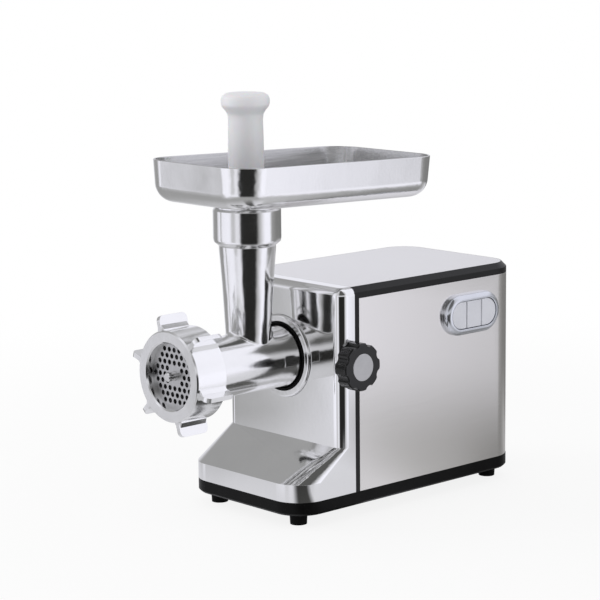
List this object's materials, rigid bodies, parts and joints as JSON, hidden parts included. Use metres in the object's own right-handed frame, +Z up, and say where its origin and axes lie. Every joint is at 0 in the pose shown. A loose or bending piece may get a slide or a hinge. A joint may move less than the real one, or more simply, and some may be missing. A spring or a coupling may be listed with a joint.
{
  "type": "electric meat grinder",
  "caption": "Countertop electric meat grinder: boxy housing with a bright front, side push buttons, grinding head with lugged ring nut, tall feed tube, food tray and pusher.",
  "frame": {"origin": "on the table plane, on the upright middle plane of the housing, between the feet", "axes": "+Z up, the grinding head faces -Y, the push buttons are on +X"},
  "size_m": [0.1644, 0.3629, 0.372],
  "materials": {
    "black_plastic": "satin black moulded plastic",
    "black_knob": "gloss black moulded plastic",
    "rubber": "matt black rubber",
    "bright_cover": "bright plated cover",
    "brushed_side": "satin brushed stainless sheet",
    "silver_panel": "silver satin panel",
    "chrome_trim": "bright plated trim",
    "button_silver": "silver lacquered plastic",
    "cast_bright": "polished cast aluminium",
    "tool_steel": "ground steel",
    "screw_steel": "zinc plated steel",
    "pusher_white": "white moulded plastic",
    "dark_casting": "raw die casting",
    "gear_steel": "oiled steel",
    "bronze": "sintered bronze",
    "motor_steel": "painted steel can",
    "fan_plastic": "dark moulded plastic"
  },
  "bodies": {
    "chassis": {"base_tray": "black_plastic", "rubber_feet": "rubber", "base_screws": "screw_steel", "front_cover": "bright_cover", "side_wrap": "brushed_side", "trim_frame": "black_plastic", "top_panel": "silver_panel", "button_bezel": "chrome_trim", "switch_block": "fan_plastic", "head_socket": "cast_bright", "socket_seal": "rubber", "socket_screws": "screw_steel", "gearbox_housing": "dark_casting", "gearbox_cover": "dark_casting", "gearbox_screws": "screw_steel", "output_bearing": "bronze", "idler_shaft": "gear_steel", "motor_can": "motor_steel", "brush_holders": "bronze", "motor_cradle": "fan_plastic", "cord_inlet": "rubber"},
    "head": {"grinder_head": "cast_bright", "auger_bush": "bronze", "cutting_plate": "tool_steel", "plate_key": "tool_steel"},
    "ring": {"ring_nut": "cast_bright"},
    "screw": {"auger": "cast_bright", "cutting_blade": "tool_steel"},
    "tray": {"food_tray": "cast_bright"},
    "pusher": {"food_pusher": "pusher_white"},
    "bolt": {"lock_bolt": "screw_steel"},
    "knob": {"lock_knob": "black_knob", "knob_cap": "chrome_trim"},
    "button_off": {"off_button": "button_silver"},
    "button_on": {"on_button": "button_silver"},
    "button_reverse": {"reverse_button": "button_silver"},
    "drive": {"output_gear": "gear_steel", "output_shaft": "gear_steel"},
    "idler": {"idler_gear": "gear_steel"},
    "rotor": {"motor_rotor": "gear_steel", "motor_pinion": "gear_steel", "cooling_fan": "fan_plastic"}
  },
  "joints": [
    {"name": "head_slide", "type": "slide", "parent": "chassis", "child": "head", "axis": [0, -1, 0], "range_m": [0, 0.16]},
    {"name": "ring_turn", "type": "hinge", "parent": "head", "child": "ring", "pos_m": [0, -0.2, 0.137], "axis": [0, -1, 0], "range_deg": [0, 330]},
    {"name": "screw_spin", "type": "hinge", "parent": "head", "child": "screw", "pos_m": [0, -0.14, 0.137], "axis": [0, 1, 0], "continuous": true},
    {"name": "tray_lift", "type": "slide", "parent": "head", "child": "tray", "axis": [0, 0, 1], "range_m": [0, 0.12]},
    {"name": "pusher_slide", "type": "slide", "parent": "head", "child": "pusher", "axis": [0, 0, 1], "range_m": [0, 0.2]},
    {"name": "bolt_slide", "type": "slide", "parent": "chassis", "child": "bolt", "axis": [1, 0, 0], "range_m": [0, 0.006]},
    {"name": "knob_turn", "type": "hinge", "parent": "bolt", "child": "knob", "pos_m": [0.076, -0.069, 0.137], "axis": [1, 0, 0], "range_deg": [0, 1440]},
    {"name": "off_press", "type": "slide", "parent": "chassis", "child": "button_off", "axis": [-1, 0, 0], "range_m": [0, 0.003], "stiffness_N_per_m": 400, "springref_m": -0.001},
    {"name": "on_press", "type": "slide", "parent": "chassis", "child": "button_on", "axis": [-1, 0, 0], "range_m": [0, 0.003], "stiffness_N_per_m": 400, "springref_m": -0.001},
    {"name": "reverse_press", "type": "slide", "parent": "chassis", "child": "button_reverse", "axis": [-1, 0, 0], "range_m": [0, 0.003], "stiffness_N_per_m": 400, "springref_m": -0.001},
    {"name": "drive_spin", "type": "hinge", "parent": "chassis", "child": "drive", "pos_m": [0, -0.04, 0.137], "axis": [0, 1, 0], "continuous": true},
    {"name": "idler_spin", "type": "hinge", "parent": "chassis", "child": "idler", "pos_m": [0, -0.03, 0.098], "axis": [0, 1, 0], "continuous": true},
    {"name": "rotor_spin", "type": "hinge", "parent": "chassis", "child": "rotor", "pos_m": [0, 0.02, 0.059], "axis": [0, 1, 0], "continuous": true}
  ],
  "couplings": [
    {"joint": "screw_spin", "follows": "drive_spin", "ratio": 1},
    {"joint": "idler_spin", "follows": "drive_spin", "ratio": -5},
    {"joint": "rotor_spin", "follows": "drive_spin", "ratio": 25},
    {"joint": "bolt_slide", "follows": "knob_turn", "m_per_rad": 0.00023873}
  ]
}
